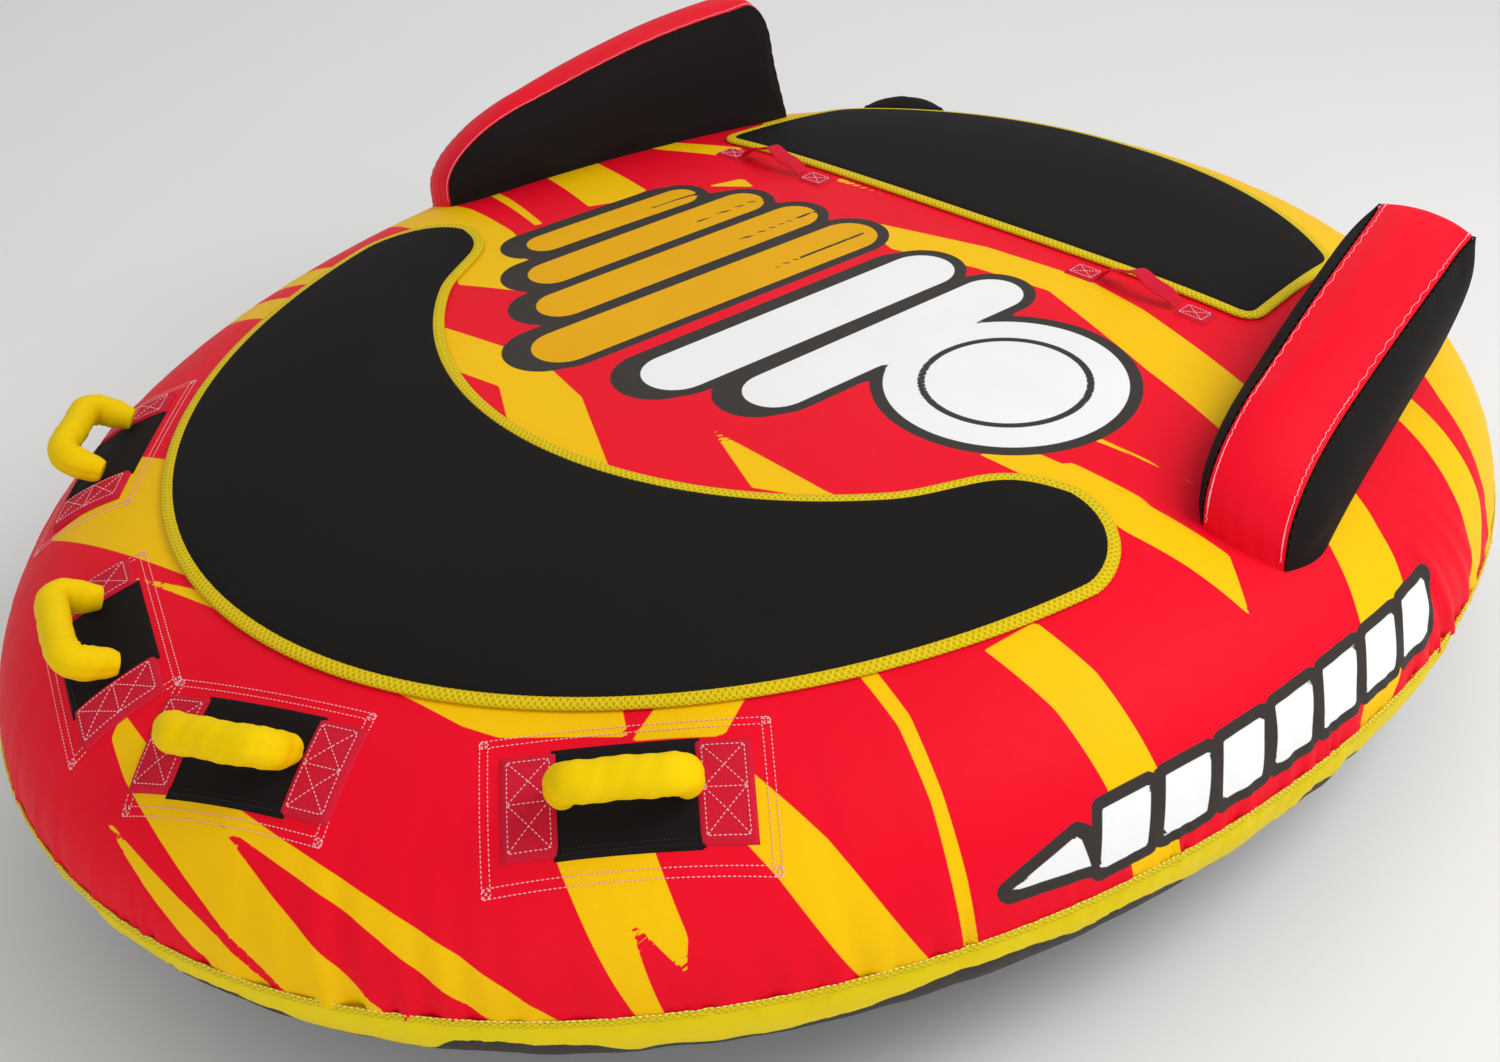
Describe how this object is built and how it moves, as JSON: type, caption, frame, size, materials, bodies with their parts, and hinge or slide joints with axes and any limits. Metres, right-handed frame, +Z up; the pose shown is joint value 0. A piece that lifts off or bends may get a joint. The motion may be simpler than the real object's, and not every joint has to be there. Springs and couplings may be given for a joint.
{
  "type": "towable tube",
  "caption": "Inflatable deck tube for towing behind a boat, with padded grips, two deck pads and raised side wings.",
  "frame": {"origin": "on the ground plane under the middle of the bounding box", "axes": "+Z up, -Y the front where the grips and the tow ring are, +X the right wing"},
  "size_m": [1.5044, 1.7644, 0.5365],
  "materials": {
    "red_nylon": "coated woven nylon, satin",
    "yellow_nylon": "coated woven nylon, satin",
    "dark_nylon": "coated woven nylon, satin",
    "neoprene": "fine-napped neoprene, matt",
    "yellow_tape": "braided binding tape",
    "red_webbing": "woven webbing",
    "black_webbing": "woven webbing",
    "pvc": "heavy film",
    "valve_plastic": "moulded",
    "steel": "brushed"
  },
  "bodies": {
    "tube": {"bottom_cover": "dark_nylon", "front_pad": "neoprene", "front_pad_binding": "yellow_tape", "left_drain_grommet": "steel", "left_inner_anchor_far": "red_webbing", "left_inner_anchor_near": "red_webbing", "left_inner_backing_patch": "black_webbing", "left_inner_knuckle_guard": "neoprene", "left_outer_anchor_far": "red_webbing", "left_outer_anchor_near": "red_webbing", "left_outer_backing_patch": "black_webbing", "left_outer_knuckle_guard": "neoprene", "left_strap_inner_tab": "red_webbing", "left_strap_outer_tab": "red_webbing", "left_wing_bladder": "pvc", "left_wing_gusset": "red_nylon", "left_wing_inner_panel": "neoprene", "left_wing_outer_panel": "neoprene", "left_wing_valve": "valve_plastic", "main_bladder": "pvc", "rear_cover_panel": "yellow_nylon", "rear_pad": "neoprene", "rear_pad_binding": "yellow_tape", "right_drain_grommet": "steel", "right_inner_anchor_far": "red_webbing", "right_inner_anchor_near": "red_webbing", "right_inner_backing_patch": "black_webbing", "right_inner_knuckle_guard": "neoprene", "right_outer_anchor_far": "red_webbing", "right_outer_anchor_near": "red_webbing", "right_outer_backing_patch": "black_webbing", "right_outer_knuckle_guard": "neoprene", "right_strap_inner_tab": "red_webbing", "right_strap_outer_tab": "red_webbing", "right_wing_bladder": "pvc", "right_wing_gusset": "red_nylon", "right_wing_inner_panel": "neoprene", "right_wing_outer_panel": "neoprene", "right_wing_valve": "valve_plastic", "seam_binding": "yellow_nylon", "top_cover": "red_nylon", "tow_harness": "black_webbing", "valve_body": "valve_plastic", "zip_tape": "black_webbing"},
    "right_outer_handle": {"right_outer_grip": "yellow_nylon", "right_outer_grip_webbing": "red_webbing"},
    "left_outer_handle": {"left_outer_grip": "yellow_nylon", "left_outer_grip_webbing": "red_webbing"},
    "right_inner_handle": {"right_inner_grip": "yellow_nylon", "right_inner_grip_webbing": "red_webbing"},
    "left_inner_handle": {"left_inner_grip": "yellow_nylon", "left_inner_grip_webbing": "red_webbing"},
    "right_strap": {"right_strap_loop": "red_webbing"},
    "left_strap": {"left_strap_loop": "red_webbing"},
    "valve_cover": {"valve_cover_flap": "neoprene"},
    "valve_cap": {"valve_cap": "valve_plastic"},
    "tow_ring": {"tow_ring": "steel"},
    "zip_slider": {"zip_slider": "steel"},
    "right_wing_plug": {"right_wing_valve_plug": "valve_plastic"},
    "left_wing_plug": {"left_wing_valve_plug": "valve_plastic"}
  },
  "joints": [
    {"name": "right_outer_handle_flop", "type": "hinge", "parent": "tube", "child": "right_outer_handle", "pos_m": [0.42355, -0.57175, 0.38345], "axis": [0.6725, 0.7401, 0.0095], "range_deg": [-64, 41]},
    {"name": "left_outer_handle_flop", "type": "hinge", "parent": "tube", "child": "left_outer_handle", "pos_m": [-0.42355, -0.57175, 0.38345], "axis": [0.6725, -0.7401, -0.0095], "range_deg": [-90, 15]},
    {"name": "right_inner_handle_flop", "type": "hinge", "parent": "tube", "child": "right_inner_handle", "pos_m": [0.12207, -0.7564, 0.38066], "axis": [0.9209, 0.3823, 0.0764], "range_deg": [-75, 30]},
    {"name": "left_inner_handle_flop", "type": "hinge", "parent": "tube", "child": "left_inner_handle", "pos_m": [-0.12207, -0.7564, 0.38066], "axis": [0.9209, -0.3823, -0.0764], "range_deg": [-92, 13]},
    {"name": "right_strap_flop", "type": "hinge", "parent": "tube", "child": "right_strap", "pos_m": [0.285, 0.338, 0.43066], "axis": [1, 0, 0], "range_deg": [-30, 30]},
    {"name": "left_strap_flop", "type": "hinge", "parent": "tube", "child": "left_strap", "pos_m": [-0.285, 0.338, 0.43066], "axis": [1, 0, 0], "range_deg": [-30, 30]},
    {"name": "valve_cover_lift", "type": "hinge", "parent": "tube", "child": "valve_cover", "pos_m": [-0.34351, 0.64511, 0.39144], "axis": [0.881, 0.4714, 0.041], "range_deg": [0, 95]},
    {"name": "valve_cap_turn", "type": "hinge", "parent": "tube", "child": "valve_cap", "pos_m": [-0.36, 0.6784, 0.36315], "axis": [-0.2497, 0.3895, 0.8865], "range_deg": [0, 180]},
    {"name": "tow_ring_swing", "type": "hinge", "parent": "tube", "child": "tow_ring", "pos_m": [0, -0.66059, 0.03202], "axis": [1, 0, 0], "range_deg": [0, 60]},
    {"name": "zip_slider_travel", "type": "hinge", "parent": "tube", "child": "zip_slider", "pos_m": [0, 0.67855, 2.00379], "axis": [0, 1, 0], "range_deg": [0, 10.3]},
    {"name": "right_wing_plug_pull", "type": "slide", "parent": "tube", "child": "right_wing_plug", "axis": [-0.2364, 0.9705, 0.0465], "range_m": [0, 0.02]},
    {"name": "left_wing_plug_pull", "type": "slide", "parent": "tube", "child": "left_wing_plug", "axis": [0.2364, 0.9705, 0.0465], "range_m": [0, 0.02]}
  ]
}
